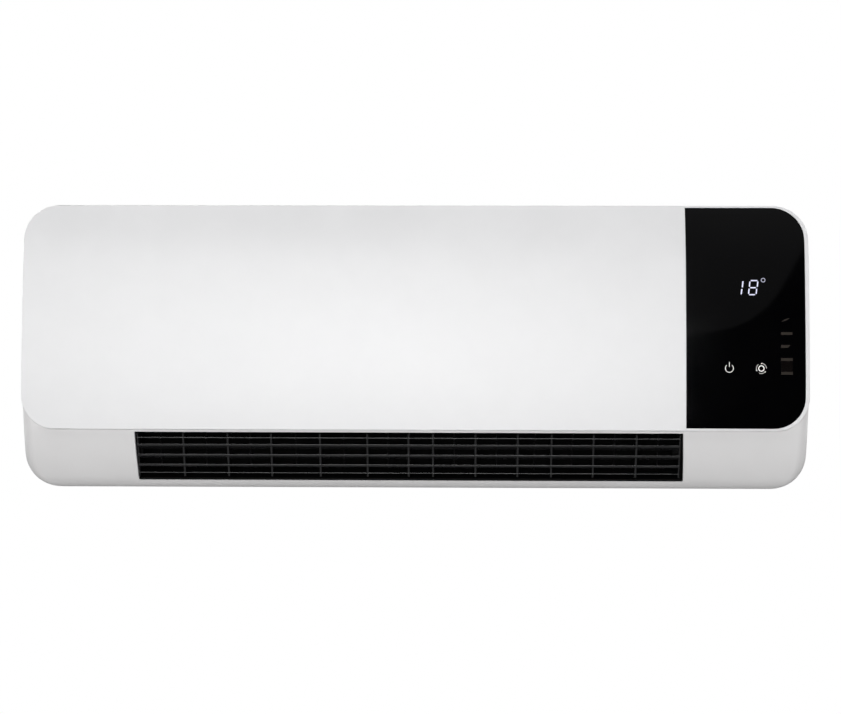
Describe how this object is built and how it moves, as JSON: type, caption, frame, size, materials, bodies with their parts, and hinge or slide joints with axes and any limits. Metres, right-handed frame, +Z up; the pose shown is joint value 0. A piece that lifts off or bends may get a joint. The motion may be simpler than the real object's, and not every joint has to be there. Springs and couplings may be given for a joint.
{
  "type": "bathroom wall fan heater",
  "caption": "White wall-mounted fan heater with a curved front plate, a black touch panel and a black swinging louver in its chin.",
  "frame": {"origin": "centre of the flat back face, in the plane of the wall", "axes": "+X to the right seen from in front, +Y into the wall, +Z up; the front faces -Y"},
  "size_m": [0.5485, 0.118, 0.1992],
  "materials": {
    "white_gloss": "glossy white injection-moulded panel",
    "white_satin": "satin white moulded housing",
    "black_acrylic": "glossy black panel printed from behind",
    "black_plastic": "satin black moulding",
    "zinc_sheet": "zinc-coated sheet, matt",
    "steel": "ground and zinc-plated steel",
    "core_steel": "stamped core sheets, edges bare",
    "copper": "enamelled copper wire under clear tape",
    "grey_plastic": "glass-filled moulding",
    "rubber": "matt moulded rubber",
    "bronze": "sintered bearing metal",
    "aluminium": "rolled aluminium, satin",
    "heat_plastic": "heat-resistant moulding, beige",
    "brass": "stamped brass",
    "circuit_board": "green lacquered board",
    "component_black": "black moulded component",
    "relay_blue": "blue moulded relay case",
    "tape_yellow": "yellow tape over a winding",
    "capacitor": "dark sleeve over an aluminium can",
    "white_nylon": "natural white moulding",
    "rocker_red": "red polished moulding"
  },
  "bodies": {
    "casing": {"rear_cover": "white_satin", "front_housing": "white_satin", "front_panel": "white_gloss", "control_panel": "black_acrylic", "inlet_grille": "white_satin", "outlet_frame": "black_plastic", "duct_scroll": "zinc_sheet", "duct_tongue": "zinc_sheet", "duct_end_left": "zinc_sheet", "duct_end_right": "zinc_sheet", "fan_bearing": "bronze", "bearing_rubber": "rubber", "motor_laminations": "core_steel", "motor_coil": "copper", "motor_bracket_inner": "zinc_sheet", "motor_bracket_outer": "zinc_sheet", "motor_screws": "steel", "heater_frames": "heat_plastic", "heater_fins": "aluminium", "heater_bars": "aluminium", "heater_terminals": "brass", "thermal_cutout": "component_black", "thermal_fuse": "steel", "louver_bush": "white_nylon", "louver_motor": "zinc_sheet", "louver_motor_screws": "steel", "display_board": "circuit_board", "led_display": "component_black", "touch_pads": "rubber", "infrared_receiver": "component_black", "power_board": "circuit_board", "relays": "relay_blue", "board_transformer": "tape_yellow", "board_capacitors": "capacitor", "terminal_block": "white_nylon", "board_screws": "steel", "switch_body": "component_black", "switch_terminals": "brass", "lead_bush": "rubber", "case_screws": "steel", "duct_screws": "steel"},
    "fan": {"fan_wheel": "grey_plastic", "motor_shaft": "steel", "motor_rotor": "core_steel", "fan_end_pin": "steel"},
    "louver": {"louver_grid": "black_plastic", "louver_motor_shaft": "brass"},
    "rocker": {"switch_rocker": "rocker_red"}
  },
  "joints": [
    {"name": "fan_spin", "type": "hinge", "parent": "casing", "child": "fan", "pos_m": [0, -0.052, 0.022], "axis": [1, 0, 0], "continuous": true},
    {"name": "louver_swing", "type": "hinge", "parent": "casing", "child": "louver", "pos_m": [0, -0.0985, -0.0723], "axis": [1, 0, 0], "range_deg": [-10, 50]},
    {"name": "power_rocker", "type": "hinge", "parent": "casing", "child": "rocker", "pos_m": [0.2705, -0.062, -0.038], "axis": [0, 1, 0], "range_deg": [0, 16]}
  ]
}
